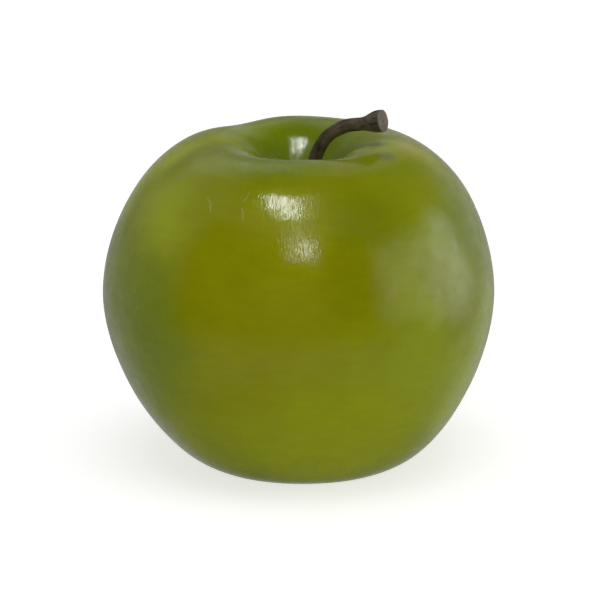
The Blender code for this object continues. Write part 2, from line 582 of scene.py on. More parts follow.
    def ragged(
        self,
        add: AddNode,
        place: Socket,
        mask: Socket,
        grain_mm: float,
        detail: float,
        limits: tuple[float, float],
    ) -> Socket:
        """Break a mask up with a fine grain.

        Args:
            add: adds a node to the tree.
            place: the point on the apple.
            mask: the mask, from 0 to 1.
            grain_mm: the grain's size.
            detail: how many finer layers the grain has.
            limits: the noise above which the mask is whole, and the share of it that is left at its thinnest.

        Returns:
            The mask with a ragged edge.
        """
        whole, thinnest = limits
        rough = add("TexNoise", {"Vector": place, "Scale": 1 / (grain_mm * MM), "Detail": detail})
        span = {"From Min": 0.35, "From Max": whole, "To Min": thinnest, "To Max": 1.0}
        broken = add("MapRange", {"Value": rough, **span})
        return add("Math", {"operation": "MULTIPLY", 0: mask, 1: broken})

    def gloss(self, add: AddNode, place: Socket, along: Socket) -> Socket:
        """Vary the gloss: duller where the wax is rubbed.

        Args:
            add: adds a node to the tree.
            place: the point on the apple.
            along: the point in the upright space.

        Returns:
            The roughness.
        """
        rubbed = add("TexNoise", {"Vector": place, "Scale": 1 / (self.rubbed_mm * MM), "Detail": 4.0})
        fine = 1 / (self.rubbed_streak_mm * MM)
        streak = add("TexNoise", {"Vector": along, "Scale": fine, "Detail": 2.0})
        both = add("Math", {"operation": "ADD", 0: rubbed, 1: streak})
        limits = {"To Min": self.roughness - 0.06, "To Max": self.roughness + 0.08}
        return add("MapRange", {"Value": both, "From Min": 0.6, "From Max": 1.4, **limits})

    def wax(self, add: AddNode, place: Socket, along: Socket) -> Socket:
        """Break the wax into fine upright strokes, thick and thin, which mottle the highlights.

        Args:
            add: adds a node to the tree.
            place: the point on the apple.
            along: the point in the upright space.

        Returns:
            The wax's weight.
        """
        fine = {"Scale": 1 / (self.stroke_mm * MM), "Detail": 2.0, "Roughness": 0.6}
        stroke = add("TexNoise", {"Vector": along, **fine})
        stroke = add("Math", {"operation": "SUBTRACT", 0: stroke, 1: 0.5})
        stroke = add("Math", {"operation": "MULTIPLY", 0: stroke, 1: self.lively(add, place)})
        patch = add("TexNoise", {"Vector": place, "Scale": 1 / (self.wax_patch_mm * MM), "Detail": 3.0})
        both = add("Math", {"operation": "MULTIPLY_ADD", 0: patch, 1: self.wax_patch_share, 2: stroke})
        weights = {"To Min": self.thinnest_wax * self.coat, "To Max": self.thickest_wax * self.coat}
        wax = add("MapRange", {"Value": both, "From Min": -0.01, "From Max": 0.36, **weights})
        for spot, share in self.wax_shares:
            kept = add("MapRange", {"Value": spot.mask(add, place), "To Min": 1.0, "To Max": share})
            wax = add("Math", {"operation": "MULTIPLY", 0: wax, 1: kept})
        return wax

    def lively(self, add: AddNode, place: Socket) -> Socket:
        """Mark where the wax is most uneven: high on the front, and on the cavity's back wall.

        Args:
            add: adds a node to the tree.
            place: the point on the apple.

        Returns:
            1 where it's most uneven, and close to 0 where it's even.
        """
        front, hollow = self.lively_front.mask(add, place), self.lively_hollow.mask(add, place)
        strong = add("Math", {"operation": "MAXIMUM", 0: front, 1: hollow})
        return add("MapRange", {"Value": strong, "To Min": self.calm, "To Max": 1.0})

    def relief(self, add: AddNode, place: Socket, along: Socket) -> Socket:
        """Raise the fine upright ripples and the pores.

        Args:
            add: adds a node to the tree.
            place: the point on the apple.
            along: the point in the upright space.

        Returns:
            The shading normal.
        """
        ripple = add("TexNoise", {"Vector": along, "Scale": 1 / (self.ripple_mm * MM), "Detail": 2.0})
        peel = add("TexNoise", {"Vector": place, "Scale": 1 / (self.peel_mm * MM), "Detail": 2.0})
        both = add("Math", {"operation": "ADD", 0: ripple, 1: peel})
        depth = add("Math", {"operation": "MULTIPLY", 0: both, 1: self.lively(add, place)})
        return add("Bump", {"Height": depth, "Strength": 1.0, "Distance": self.ripple_depth_mm * MM})


@dataclass(frozen=True)
class StemBark:
    """Dry apple-stem bark: matt dark brown, grained along the stem, paler where it is rubbed."""

    dark: str = "#262013"
    light: str = "#6C5F49"
    edge: str = "#7E7566"
    roughness: float = 0.62
    fibre_mm: float = 0.5
    fibre_stretch: float = 0.22
    fibre_depth_mm: float = 0.10
    patch_mm: float = 3.5

    def material(self) -> bpy.types.Material:
        """Build the bark's nodes, in the straightened space of the stem's own grain attribute.

        Returns:
            The material.
        """
        material, add = new_material("stem_bark")
        grain = add("Attribute", {"attribute_name": "grain"}, "Vector")
        drawn = add("VectorMath", {"operation": "MULTIPLY", 0: grain, 1: (1.0, 1.0, self.fibre_stretch)})
        fine = {"Scale": 1 / (self.fibre_mm * MM), "Detail": 5.0, "Roughness": 0.7}
        fibre = add("TexNoise", {"Vector": drawn, **fine})
        patch = add("TexNoise", {"Vector": grain, "Scale": 1 / (self.patch_mm * MM), "Detail": 4.0})
        both = add("Math", {"operation": "ADD", 0: fibre, 1: patch})
        share = add("MapRange", {"Value": both, "From Min": 0.80, "From Max": 1.25})
        shades = {6: linear(self.dark), 7: linear(self.light)}
        colour = add("Mix", {"data_type": "RGBA", "Factor": share, **shades}, 2)
        worn = add("Attribute", {"attribute_name": "worn"}, "Fac")
        colour = add("Mix", {"data_type": "RGBA", "Factor": worn, 6: colour, 7: linear(self.edge)}, 2)
        bump = add("Bump", {"Height": fibre, "Strength": 1.0, "Distance": self.fibre_depth_mm * MM})
        limits = {"To Min": self.roughness - 0.1, "To Max": self.roughness + 0.15}
        dull = add("MapRange", {"Value": fibre, "From Min": 0.3, "From Max": 0.7, **limits})
        shader = add("BsdfPrincipled", {"Base Color": colour, "Roughness": dull, "Normal": bump, "IOR": 1.45})
        add("OutputMaterial", {"Surface": shader})
        return material


@dataclass(frozen=True)
class CutWood:
    """The stem's snapped end: pale grey-brown wood with faint rings, rays and a dark pith."""

    wood: str = "#8A8272"
    dark: str = "#5E574A"
    pith: str = "#4A4236"
    ring_mm: float = 0.4333
    grain_mm: float = 0.8
    grain_shift_mm: float = 0.7
    pith_core_mm: float = 0.15
    pith_edge_mm: float = 0.55
    pith_strength: float = 0.8
    relief_mm: float = 0.06

    def material(self, centre: Vector, facing: Vector) -> bpy.types.Material:
        """Build the cut wood's nodes.

        Args:
            centre: the middle of the cut.
            facing: the way the cut faces.

        Returns:
            The material.
        """
        material, add = new_material("cut_stem_wood")
        place = add("TexCoord", {}, "Object")
        offset = add("VectorMath", {"operation": "SUBTRACT", 0: place, 1: centre})
        depth = add("VectorMath", {"operation": "DOT_PRODUCT", 0: offset, 1: facing}, "Value")
        sunk = add("VectorMath", {"operation": "SCALE", 0: facing, "Scale": depth})
        in_face = add("VectorMath", {"operation": "SUBTRACT", 0: offset, 1: sunk})
        out = add("VectorMath", {"operation": "LENGTH", 0: in_face}, "Value")
        fine = {"Scale": 1 / (self.grain_mm * MM), "Detail": 5.0, "Roughness": 0.7}
        grain = add("TexNoise", {"Vector": place, **fine})
        shift = self.grain_shift_mm * MM
        shaken = add("Math", {"operation": "MULTIPLY_ADD", 0: grain, 1: shift, 2: out})
        turns = math.tau / (self.ring_mm * MM)
        turned = add("Math", {"operation": "MULTIPLY", 0: shaken, 1: turns})
        ring = add("Math", {"operation": "SINE", 0: turned})
        rings = add("MapRange", {"Value": ring, "From Min": -1.0, "From Max": 1.0, "To Max": 0.35})
        stains = add("MapRange", {"Value": grain, "From Min": 0.45, "From Max": 0.7, "To Max": 0.6})
        share = add("Math", {"operation": "ADD", "use_clamp": True, 0: rings, 1: stains})
        shades = {6: linear(self.wood), 7: linear(self.dark)}
        colour = add("Mix", {"data_type": "RGBA", "Factor": share, **shades}, 2)
        span = {"From Min": self.pith_core_mm * MM, "From Max": self.pith_edge_mm * MM}
        middle = add("MapRange", {"Value": out, **span, "To Min": self.pith_strength, "To Max": 0.0})
        colour = add("Mix", {"data_type": "RGBA", "Factor": middle, 6: colour, 7: linear(self.pith)}, 2)
        bump = add("Bump", {"Height": share, "Strength": 1.0, "Distance": self.relief_mm * MM})
        shader = add("BsdfPrincipled", {"Base Color": colour, "Roughness": 0.8, "Normal": bump, "IOR": 1.45})
        add("OutputMaterial", {"Surface": shader})
        return material


@dataclass(frozen=True)
class Withered:
    """Withered leaf or thread: matt brown, papery, with darker veins running along it."""

    name: str
    light: str
    dark: str
    vein_mm: float
    roughness: float = 0.85
    vein_stretch: float = 0.35
    vein_depth_mm: float = 0.08

    def material(self) -> bpy.types.Material:
        """Build the withered tissue's nodes.

        Returns:
            The material.
        """
        material, add = new_material(self.name)
        place = add("TexCoord", {}, "Object")
        drawn = add("VectorMath", {"operation": "MULTIPLY", 0: place, 1: (1.0, 1.0, self.vein_stretch)})
        fine = {"Scale": 1 / (self.vein_mm * MM), "Detail": 5.0, "Roughness": 0.7}
        vein = add("TexNoise", {"Vector": drawn, **fine})
        share = add("MapRange", {"Value": vein, "From Min": 0.35, "From Max": 0.65})
        shades = {6: linear(self.dark), 7: linear(self.light)}
        colour = add("Mix", {"data_type": "RGBA", "Factor": share, **shades}, 2)
        limits = {"To Min": self.roughness - 0.1, "To Max": self.roughness + 0.1}
        dull = add("MapRange", {"Value": vein, **limits})
        bump = add("Bump", {"Height": vein, "Strength": 1.0, "Distance": self.vein_depth_mm * MM})
        shader = add("BsdfPrincipled", {"Base Color": colour, "Roughness": dull, "Normal": bump, "IOR": 1.45})
        add("OutputMaterial", {"Surface": shader})
        return material


@dataclass(frozen=True)
class Matt:
    """A plain matt or glowing surface of the studio, which isn't part of the apple."""

    name: str
    grey: float
    glow: float = 0.0

    def material(self) -> bpy.types.Material:
        """Build the plain surface's nodes.

        Returns:
            The material.
        """
        material, add = new_material(self.name)
        tint = (self.grey, self.grey, self.grey, 1.0)
        shader = add(
            "BsdfPrincipled",
            {
                "Base Color": tint,
                "Roughness": 1.0,
                "Specular IOR Level": 0.0,
                "Emission Color": (1.0, 1.0, 1.0, 1.0),
                "Emission Strength": self.glow,
            },
        )
        add("OutputMaterial", {"Surface": shader})
        return material


# The apple's own pieces


@dataclass(frozen=True)
class Fold:
    """A soft rib of the skin that runs outwards from the stem cavity.

    Its bearing from +X and its spread are in degrees and its rise is in millimetres, below 0 for a hollow. It
    starts and ends at shares of the fruit's radius.
    """

    bearing: float
    spread: float
    rise: float
    start: float
    end: float


@dataclass
class Fruit:
    """The fruit: its half outline turned round the core, then grown uneven."""

    low: Vector
    high: Vector
    finish: WaxySkin
    rim_tilt: float = 0.5 * MM
    base_lean: float = 0.6 * MM
    equator: float = 0.53
    fuller_side: float = 0.012
    lobe_count: int = 5
    lobe_depth: float = 0.006
    lobe_turn: float = math.radians(20)
    left_fill: float = 1.0 * MM
    hollow_lean: float = -0.8 * MM
    swell_size: float = 24 * MM
    swell_share: float = 0.0050
    dent_size: float = 8 * MM
    dent_share: float = 0.0012
    groove_share: float = 0.45
    fold_start_fade: float = 0.12
    fold_end_fade: float = 0.2
    outline_steps: int = 2
    turn_steps: int = 48
    fineness: int = 2
    # The half outline's points, each as a share of the radius and a share of the rim's height
    cavity_and_side: tuple[tuple[float, float], ...] = (
        (0.000, 0.790),
        (0.045, 0.792),
        (0.100, 0.845),
        (0.190, 0.925),
        (0.310, 0.982),
        (0.430, 1.000),
        (0.610, 0.972),
        (0.810, 0.868),
        (0.947, 0.705),
        (1.000, 0.530),
        (0.945, 0.350),
        (0.815, 0.180),
        (0.650, 0.060),
        (0.520, 0.014),
        (0.450, 0.003),
        (0.400, 0.000),
    )
    calyx_basin: tuple[tuple[float, float], ...] = (
        (0.300, 0.000),
        (0.240, 0.014),
        (0.170, 0.045),
        (0.110, 0.080),
        (0.055, 0.098),
        (0.000, 0.100),
    )
    folds: tuple[Fold, ...] = (
        Fold(-52, 20, -0.55, 0.20, 0.66),
        Fold(-14, 13, 0.22, 0.22, 0.74),
        Fold(10, 9, 0.25, 0.15, 0.62),
        Fold(62, 12, 0.20, 0.12, 0.60),
        Fold(92, 6, 0.25, 0.06, 0.30),
        Fold(106, 6, 0.25, 0.06, 0.30),
        Fold(126, 20, -1.05, 0.20, 0.85),
        Fold(172, 14, 0.20, 0.15, 0.60),
        Fold(212, 9, 0.22, 0.12, 0.60),
        Fold(262, 10, 0.12, 0.08, 0.45),
    )

    @property
    def radius(self) -> float:
        """Half the fruit's width."""
        return (self.high.x - self.low.x) / 2

    @property
    def rim_height(self) -> float:
        """The rim's height before it tilts."""
        return self.high.z - self.rim_tilt

    def build(self) -> list[bpy.types.Object]:
        """Model, shape and dress the fruit.

        Returns:
            The finished piece, alone in a list.
        """
        piece = self.turned()
        apply_modifier(piece, "SUBSURF", levels=self.fineness, render_levels=self.fineness)
        move_points(piece, self.grown)
        self.settle(piece)
        piece.data.materials.append(self.finish.material())
        hand_over(piece, "fruit_skin", "fruit", angle=180.0)
        return [piece]

    def turned(self) -> bpy.types.Object:
        """Draw the half outline point by point and spin it round the core.

        Returns:
            The turned solid, still coarse.
        """
        steps = self.outline_steps
        shares = smooth_curve(self.cavity_and_side, steps) + smooth_curve(self.calyx_basin, steps)
        line = [Vector((out * self.radius, 0.0, up * self.rim_height)) for out, up in shares]
        deselect_all()
        bpy.ops.mesh.primitive_plane_add(size=MM, location=line[0])
        piece = bpy.context.object
        bpy.ops.object.transform_apply(location=True)
        bpy.ops.object.mode_set(mode="EDIT")
        bpy.ops.mesh.merge(type="CENTER")
        for before, after in zip(line, line[1:]):
            bpy.ops.mesh.extrude_region_move(TRANSFORM_OT_translate={"value": after - before})
        bpy.ops.mesh.select_all(action="SELECT")
        bpy.ops.mesh.spin(steps=self.turn_steps, angle=math.tau, center=(0, 0, 0), axis=(0, 0, 1))
        bpy.ops.mesh.select_all(action="SELECT")
        bpy.ops.mesh.remove_doubles(threshold=0.01 * MM)
        bpy.ops.mesh.normals_make_consistent(inside=False)
        bpy.ops.object.mode_set(mode="OBJECT")
        return piece

    def grown(self, point: Vector) -> Vector:
        """Give where a point of the turned fruit lies on the grown one.

        Args:
            point: the point before.

        Returns:
            The point after.
        """
        radius = math.hypot(point.x, point.y)
        angle = math.atan2(point.y, point.x)
        height = point.z / self.rim_height
        away = smooth_step(0.0, 0.45, abs(height - self.equator))
        lobes = self.lobe_depth * math.cos(self.lobe_count * (angle - self.lobe_turn))
        radius *= 1 + away * (self.fuller_side * math.cos(angle) + lobes)
        lean = self.base_lean * (1 - smooth_step(0.0, 0.25, height))
        out = radius / self.radius
        if height > self.equator:
            lean += self.hollow_lean * (1 - smooth_step(0.15, 0.42, out))
        tilt = self.rim_tilt * math.sin(angle) * smooth_step(0.6, 1.0, height) * smooth_step(0.0, 0.4, out)
        rise = self.folded(math.degrees(angle), out, height) + self.filled(angle, out, height) + tilt
        swell = 1 + self.dented(point) * smooth_step(0.0, 0.12, height)
        across, deep = radius * math.cos(angle) * swell, radius * math.sin(angle) * swell
        return Vector((across + lean, deep, point.z + rise))

    def filled(self, angle: float, out: float, height: float) -> float:
        """Give how much the cavity's wall is fuller on its left than on its other sides.

        Args:
            angle: the point's direction from the core, from +X.
            out: its share of the fruit's radius.
            height: its share of the rim's height.

        Returns:
            The lift in metres.
        """
        if height < self.equator:
            return 0.0
        wall = smooth_step(0.04, 0.17, out) * (1 - smooth_step(0.20, 0.40, out))
        return wall * self.left_fill * smooth_step(0.15, 0.9, -math.cos(angle))

    def folded(self, bearing: float, out: float, height: float) -> float:
        """Give how far the soft ribs round the cavity lift a point.

        Args:
            bearing: the point's direction from the core, in degrees from +X.
            out: its share of the fruit's radius.
            height: its share of the rim's height.

        Returns:
            The lift in metres, which is below 0 between two ribs.
        """
        lift = 0.0
        for fold in self.folds:
            turn = (bearing - fold.bearing + 180) % 360 - 180
            across = turn / fold.spread
            rib = math.exp(-across * across) - self.groove_share * math.exp(-(across * across) / 4)
            begun = smooth_step(fold.start, fold.start + self.fold_start_fade, out)
            ended = smooth_step(fold.end - self.fold_end_fade, fold.end, out)
            lift += fold.rise * MM * rib * begun * (1 - ended)
        return lift * smooth_step(0.75, 0.9, height)

    def dented(self, point: Vector) -> float:
        """Give how much the flesh swells or sinks at a point.

        Args:
            point: the point on the turned fruit.

        Returns:
            The swelling as a share of the radius, below 0 where it sinks.
        """
        broad = noise.noise(point / self.swell_size + Vector((3.1, 7.7, 1.3)))
        small = noise.noise(point / self.dent_size + Vector((9.2, 4.1, 5.6)))
        return self.swell_share * broad + self.dent_share * small

    def settle(self, piece: bpy.types.Object) -> None:
        """Stretch the grown fruit by under a hundredth so that it fills its place in the frame.

        Args:
            piece: the grown fruit.
        """
        spots = [vertex.co for vertex in piece.data.vertices]
        low = Vector([min(spot[axis] for spot in spots) for axis in range(3)])
        high = Vector([max(spot[axis] for spot in spots) for axis in range(3)])
        size, wanted = high - low, self.high - self.low
        stretch = Vector([wanted[axis] / size[axis] for axis in range(3)])
        move_points(piece, lambda spot: self.low + (spot - low) * stretch)


@dataclass
class Stem:
    """The woody stem: grows out of the cavity's floor, bends over the rim and widens at its cut end."""

    bark: StemBark
    cut: CutWood
    route: tuple[tuple[float, float, float], ...] = (
        (0.0002, 0.0000, 0.0520),
        (0.0003, 0.0000, 0.0539),
        (0.0015, 0.0001, 0.0580),
        (0.0031, 0.0000, 0.0624),
        (0.0043, -0.0002, 0.0658),
        (0.0062, -0.0009, 0.0685),
        (0.0093, -0.0020, 0.0705),
        (0.0130, -0.0037, 0.0715),
        (0.0170, -0.0056, 0.0725),
    )
    radius: float = 1.45 * MM
    end_radius: float = 2.35 * MM
    foot_radius: float = 1.60 * MM
    flare_share: float = 0.14
    sides: int = 64
    steps: int = 16
    ridge_size: float = 0.75 * MM
    ridge_depth: float = 0.06 * MM
    ridge_stretch: float = 0.15
    knob_size: float = 3.2 * MM
    knob_depth: float = 0.10 * MM
    chip_size: float = 0.5 * MM
    chip_depth: float = 0.02 * MM
    cut_rim: float = 0.10 * MM
    cut_slope: float = 0.12 * MM
    cut_depth: float = 0.10 * MM
    cut_ring: float = 0.28 * MM
    cut_rings: int = 6
    worn_length: float = 0.5 * MM
    worn_radii: tuple[float, float] = (1.9 * MM, 2.2 * MM)
    worn_share: float = 0.8

    def build(self) -> list[bpy.types.Object]:
        """Model and dress the stem.

        Returns:
            The finished piece, alone in a list.
        """
        line = smooth_curve(self.route, self.steps)
        piece = self.drawn(line)
        self.carve_cut(piece, line)
        self.mark_grain(piece, line)
        self.roughen(piece)
        facing = (line[-1] - line[-2]).normalized()
        piece.data.materials.append(self.bark.material())
        piece.data.materials.append(self.cut.material(line[-1], facing))
        hand_over(piece, "stem_wood", "stem", angle=50.0)
        return [piece]

    def radius_at(self, share: float) -> float:
        """Give the stem's radius: thick at the foot, slim in the middle and flared at the end.

        Args:
            share: how far along the stem, from 0 to 1.

        Returns:
            The radius in metres.
        """
        foot = (self.foot_radius - self.radius) * (1 - smooth_step(0.0, 0.35, share))
        flare = (self.end_radius - self.radius) * smooth_step(1 - self.flare_share, 0.97, share)
        return self.radius + foot + flare

    def drawn(self, line: Sequence[Vector]) -> bpy.types.Object:
        """Draw the route as a path with a round bevel and turn it into a mesh.

        Args:
            line: the points along the stem's middle.

        Returns:
            The mesh object, closed at both ends.
        """
        deselect_all()
        bpy.ops.curve.primitive_nurbs_path_add()
        piece = bpy.context.object
        piece.location = (0, 0, 0)
        path = piece.data
        path.splines.clear()
        spline = path.splines.new("POLY")
        spline.points.add(len(line) - 1)
        for index, (point, spot) in enumerate(zip(spline.points, line)):
            point.co = (*spot, 1.0)
            point.radius = self.radius_at(index / (len(line) - 1))
        path.bevel_depth = 1.0
        path.bevel_resolution = self.sides // 4 - 1
        path.use_fill_caps = True
        bpy.ops.object.convert(target="MESH")
        piece = bpy.context.object
        bpy.ops.object.mode_set(mode="EDIT")
        bpy.ops.mesh.select_all(action="SELECT")
        bpy.ops.mesh.remove_doubles(threshold=0.001 * MM)
        bpy.ops.mesh.normals_make_consistent(inside=False)
        bpy.ops.object.mode_set(mode="OBJECT")
        return piece

    def carve_cut(self, piece: bpy.types.Object, line: Sequence[Vector]) -> None:
        """Inset the cut end into a thin rim, a shallow dish and rings fine enough to carve.

        Args:
            piece: the stem's mesh.
            line: the points along its middle.
        """
        facing = (line[-1] - line[-2]).normalized()
        work_on(piece)
        for polygon in piece.data.polygons:
            polygon.select = (polygon.center - line[-1]).length < MM and polygon.normal.dot(facing) > 0.9
            polygon.material_index = 1 if polygon.select else 0
        for vertex in piece.data.vertices:
            vertex.select = False
        bpy.ops.object.mode_set(mode="EDIT")
        bpy.ops.mesh.select_mode(type="FACE")
        bpy.ops.mesh.inset(thickness=self.cut_rim)
        bpy.ops.mesh.inset(thickness=self.cut_slope, depth=-self.cut_depth)
        for _ in range(self.cut_rings):
            bpy.ops.mesh.inset(thickness=self.cut_ring)
        bpy.ops.mesh.poke()
        bpy.ops.object.mode_set(mode="OBJECT")

    def mark_grain(self, piece: bpy.types.Object, line: Sequence[Vector]) -> None:
        """Write each point's place on the straightened stem, and how worn it is, for the bark's pattern.

        Args:
            piece: the stem's mesh.
            line: the points along its middle.
        """
        lengths = [0.0]
        for before, after in zip(line, line[1:]):
            lengths.append(lengths[-1] + (after - before).length)
        side = Vector((0, 1, 0))
        frames = []
        for index, spot in enumerate(line):
            ahead = line[min(index + 1, len(line) - 1)] - line[max(index - 1, 0)]
            ahead.normalize()
            side = (side - ahead * side.dot(ahead)).normalized()
            frames.append((spot, ahead, side.copy(), ahead.cross(side)))
        piece.data.attributes.new("grain", "FLOAT_VECTOR", "POINT")
        piece.data.attributes.new("worn", "FLOAT", "POINT")
        grain = piece.data.attributes["grain"]
        worn = piece.data.attributes["worn"]
        for vertex in piece.data.vertices:
            index = min(range(len(line)), key=lambda place: (line[place] - vertex.co).length_squared)
            spot, ahead, side, across = frames[index]
            offset = vertex.co - spot
            length = lengths[index] + offset.dot(ahead)
            grain.data[vertex.index].vector = (offset.dot(side), offset.dot(across), length)
            out = math.hypot(offset.dot(side), offset.dot(across))
            tip = smooth_step(lengths[-1] - self.worn_length, lengths[-1], length)
            lip = smooth_step(*self.worn_radii, out)
            worn.data[vertex.index].value = self.worn_share * tip * lip

    def roughen(self, piece: bpy.types.Object) -> None:
        """Raise the bark's long ridges and knobs, and chip the cut.

        Args:
            piece: the stem's mesh, with its grain marked.
        """
        grain = piece.data.attributes["grain"].data
        normals = [vertex.normal.copy() for vertex in piece.data.vertices]
        for vertex, normal in zip(piece.data.vertices, normals):
            spot = Vector(grain[vertex.index].vector)
            drawn = Vector((spot.x, spot.y, spot.z * self.ridge_stretch))
            rise = self.ridge_depth * noise.noise(drawn / self.ridge_size)
            rise += self.knob_depth * noise.noise(spot / self.knob_size + Vector((5.0, 0.0, 2.0)))
            rise += self.chip_depth * noise.noise(spot / self.chip_size)
            vertex.co += normal * rise
        piece.data.update()


@dataclass
class Calyx:
    """The dried flower end: five sepals round a tuft of stamens, in the basin under the fruit."""

    sepal_finish: Withered
    thread_finish: Withered
    seed: int = 7
    sepal_count: int = 5
    stamen_count: int = 18
    style_count: int = 5
    half_width: float = 1.5 * MM
    tip_half_width: float = 0.05 * MM
    leaf_thickness: float = 0.22 * MM
    leaf_crease: float = 0.35 * MM
    lowest: float = 0.9 * MM
    foot_height: float = 7.0 * MM
    stamen_radius: float = 0.09 * MM
    stamen_bead_mm: tuple[float, float] = (0.16, 0.24)
    stamen_foot_mm: tuple[float, float] = (1.25, 1.6)
    stamen_tip_mm: tuple[float, float] = (0.5, 1.5)
    stamen_height_mm: tuple[float, float] = (3.0, 4.4)
    style_radius: float = 0.13 * MM
    style_bead: float = 0.17 * MM
    style_foot_mm: float = 0.25
    style_tip_mm: float = 0.42
    style_height_mm: tuple[float, float] = (3.2, 3.9)
    # A sepal's middle line: how far out from the core, and how high
    midrib: tuple[tuple[float, float], ...] = (
        (2.0 * MM, 7.2 * MM),
        (2.30 * MM, 6.0 * MM),
        (2.25 * MM, 4.8 * MM),
        (2.60 * MM, 3.4 * MM),
        (3.60 * MM, 2.4 * MM),
        (5.00 * MM, 2.2 * MM),
        (5.70 * MM, 2.8 * MM),
    )
    midrib_steps: int = 8
    turn: float = math.radians(20)

    def build(self) -> list[bpy.types.Object]:
        """Model and dress the sepals and the tuft.

        Returns:
            The finished pieces.
        """
        leaf_look = self.sepal_finish.material()
        pieces = []
        for number in range(self.sepal_count):
            dice = random.Random(self.seed + number)
            piece = self.sepal(number, dice)
            piece.data.materials.append(leaf_look)
            hand_over(piece, f"sepal_leaf_{number + 1}", f"sepal_{number + 1}", angle=60.0)
            pieces.append(piece)
        tuft = self.tuft(random.Random(self.seed))
        tuft.data.materials.append(self.thread_finish.material())
        hand_over(tuft, "stamen_tuft", "stamens", angle=60.0)
        return [*pieces, tuft]

    def sepal(self, number: int, dice: random.Random) -> bpy.types.Object:
        """Model one withered sepal: a pointed leaf that curls outwards.

        Args:
            number: which sepal it is, from 0.
            dice: the source of its own irregularity.

        Returns:
            The mesh object.
        """
        deselect_all()
        bpy.ops.mesh.primitive_grid_add(x_subdivisions=10, y_subdivisions=22, size=1.0)
        piece = bpy.context.object
        line = smooth_curve(self.midrib, self.midrib_steps)
        curl = dice.uniform(-0.35, 0.25)
        twist = dice.uniform(-0.25, 0.25)
        phase = dice.uniform(0, 10)
        bearing = math.tau * number / self.sepal_count + self.turn + dice.uniform(-0.08, 0.08)
        turn = Matrix.Rotation(bearing, 3, "Z")

        def shaped(point: Vector) -> Vector:
            """Give a leaf point's place.

            Args:
                point: its place on the square grid.

            Returns:
                Its place on the leaf.
            """
            share = point.y + 0.5
            across = point.x * 2
            reach = share * (len(line) - 1.001)
            index = int(reach)
            spot = line[index].lerp(line[index + 1], reach - index)
            ahead = (line[index + 1] - line[index]).normalized()
            belly = 0.85 + 0.3 * math.sin(math.pi * min(share * 1.6, 1.0))
            width = self.half_width * belly * (1 - share**2.2) + self.tip_half_width
            crease = noise.noise(Vector((across * 1.5, share * 4.0, phase))) * self.leaf_crease
            cup = across * across * width * (0.45 + curl) + crease * (0.3 + share)
            x = spot.x - ahead.y * cup
            z = spot.y + ahead.x * cup
            y = across * width + twist * share * MM
            return turn @ Vector((x, y, max(z, self.lowest)))

        move_points(piece, shaped)
        apply_modifier(piece, "SOLIDIFY", thickness=self.leaf_thickness, offset=0.0)
        apply_modifier(piece, "SUBSURF", levels=1, render_levels=1)
        return piece

    def thread(
        self, foot: Vector, tip: Vector, sag: Vector, thickness: float, bead: float
    ) -> list[bpy.types.Object]:
        """Model one stamen or style: a bent thread with a small bead at its tip.

        Args:
            foot: where it leaves the flesh.
            tip: where it ends.
            sag: how far its middle bends aside.
            thickness: its radius.
            bead: the radius of the bead.

        Returns:
            The thread and its bead.
        """
        deselect_all()
        bpy.ops.mesh.primitive_cylinder_add(vertices=7, radius=1.0, depth=1.0, end_fill_type="TRIFAN")
        shaft = bpy.context.object
        bpy.ops.object.mode_set(mode="EDIT")
        for height in (0.25, 0.0, -0.25):
            bpy.ops.mesh.select_all(action="SELECT")
            bpy.ops.mesh.bisect(plane_co=(0, 0, height), plane_no=(0, 0, 1))
        bpy.ops.object.mode_set(mode="OBJECT")

        def bent(point: Vector) -> Vector:
            """Give a shaft point's place.

            Args:
                point: its place on the straight unit cylinder.

            Returns:
                Its place on the bent thread.
            """
            share = point.z + 0.5
            middle = foot.lerp(tip, share) + sag * math.sin(math.pi * share)
            return middle + Vector((point.x, -point.y, 0)) * thickness * (1.25 - 0.5 * share)

        move_points(shaft, bent)
        work_on(shaft)
        bpy.ops.object.mode_set(mode="EDIT")
        bpy.ops.mesh.select_all(action="SELECT")
        bpy.ops.mesh.normals_make_consistent(inside=False)
        bpy.ops.object.mode_set(mode="OBJECT")
        deselect_all()
        bpy.ops.mesh.primitive_ico_sphere_add(subdivisions=2, radius=bead, location=tip)
        end = bpy.context.object
        bpy.ops.object.transform_apply(location=True)
        move_points(end, lambda point: tip + (point - tip) * (1 + 0.5 * noise.noise(point / (0.2 * MM))))
        return [shaft, end]

    def tuft(self, dice: random.Random) -> bpy.types.Object:
        """Model the withered stamens in a ring and the styles in its middle.

        Args:
            dice: the source of their irregularity.

        Returns:
            The joined mesh object.
        """
        parts = []
        for number in range(self.stamen_count):
            angle = math.tau * number / self.stamen_count + dice.uniform(-0.12, 0.12)
            out = Vector((math.cos(angle), math.sin(angle), 0))
            side = Vector((-out.y, out.x, 0))
            foot = out * dice.uniform(*self.stamen_foot_mm) * MM + Vector((0, 0, self.foot_height))
            tip = out * dice.uniform(*self.stamen_tip_mm) * MM + side * dice.uniform(-0.5, 0.5) * MM
            tip.z = dice.uniform(*self.stamen_height_mm) * MM
            sag = out * dice.uniform(-0.1, 0.45) * MM + side * dice.uniform(-0.25, 0.25) * MM
            parts += self.thread(foot, tip, sag, self.stamen_radius, dice.uniform(*self.stamen_bead_mm) * MM)
        for number in range(self.style_count):
            angle = math.tau * number / self.style_count
            out = Vector((math.cos(angle), math.sin(angle), 0))
            foot = out * self.style_foot_mm * MM + Vector((0, 0, self.foot_height))
            tip = out * self.style_tip_mm * MM + Vector((0, 0, dice.uniform(*self.style_height_mm) * MM))
            parts += self.thread(foot, tip, out * 0.1 * MM, self.style_radius, self.style_bead)
        work_on(parts[0])
        for part in parts:
            part.select_set(True)
        bpy.ops.object.join()
        return bpy.context.object


# The studio


